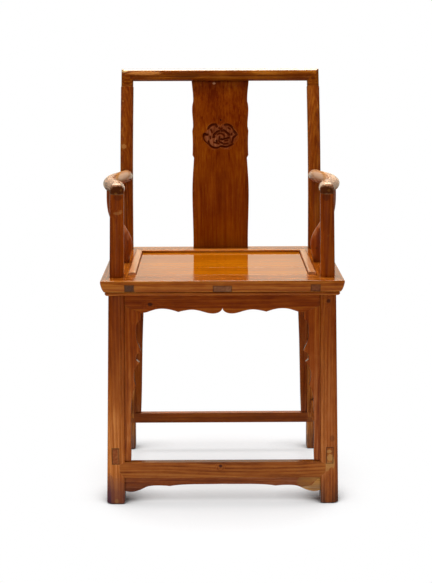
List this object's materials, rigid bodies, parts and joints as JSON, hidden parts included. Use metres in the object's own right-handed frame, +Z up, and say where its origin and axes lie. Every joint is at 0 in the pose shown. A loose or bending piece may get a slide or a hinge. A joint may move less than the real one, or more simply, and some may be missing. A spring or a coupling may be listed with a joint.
{
  "type": "armchair",
  "caption": "Southern official's-hat armchair of lacquered hardwood: round turned-down crest and arms, curved splat, mitred seat frame, wavy aprons and foot rails.",
  "frame": {"origin": "on the floor, under the middle of the whole chair's bounding box", "axes": "+Z up, -Y is the front that the sitter faces, +X is to the right of someone who looks at the front"},
  "size_m": [0.556, 0.4812, 0.99],
  "materials": {
    "frame_wood": "old clear-lacquered reddish-brown hardwood, glossy, worn along the edges",
    "panel_wood": "old clear-lacquered hardwood, carved edges",
    "seat_board_wood": "lacquered amber-brown boards with a straight grain",
    "splat_wood": "lacquered reddish-brown board with a carved medallion",
    "repair_wood": "pale newer wood, thinly lacquered",
    "hidden_wood": "unlacquered hardwood, planed"
  },
  "bodies": {
    "root": {"apron_end_patch": "repair_wood", "arm_left": "frame_wood", "arm_right": "frame_wood", "arm_support_left": "frame_wood", "arm_support_right": "frame_wood", "back_splat": "splat_wood", "crest_rail": "frame_wood", "front_apron": "panel_wood", "front_post_left": "frame_wood", "front_post_right": "frame_wood", "front_spandrel_left": "panel_wood", "front_spandrel_right": "panel_wood", "front_stretcher": "frame_wood", "front_stretcher_apron": "panel_wood", "joint_pegs": "hidden_wood", "rear_apron": "panel_wood", "rear_post_left": "frame_wood", "rear_post_right": "frame_wood", "rear_spandrel_left": "panel_wood", "rear_spandrel_right": "panel_wood", "rear_stretcher": "frame_wood", "seat_batten": "hidden_wood", "seat_board_front": "seat_board_wood", "seat_board_rear": "seat_board_wood", "seat_rail_front": "frame_wood", "seat_rail_left": "frame_wood", "seat_rail_rear": "frame_wood", "seat_rail_right": "frame_wood", "seat_strip_left": "frame_wood", "seat_strip_rear": "frame_wood", "seat_strip_right": "frame_wood", "side_apron_left": "panel_wood", "side_apron_right": "panel_wood", "side_spandrel_left_front": "panel_wood", "side_spandrel_left_rear": "panel_wood", "side_spandrel_right_front": "panel_wood", "side_spandrel_right_rear": "panel_wood", "side_stretcher_left": "frame_wood", "side_stretcher_right": "frame_wood"}
  },
  "joints": []
}
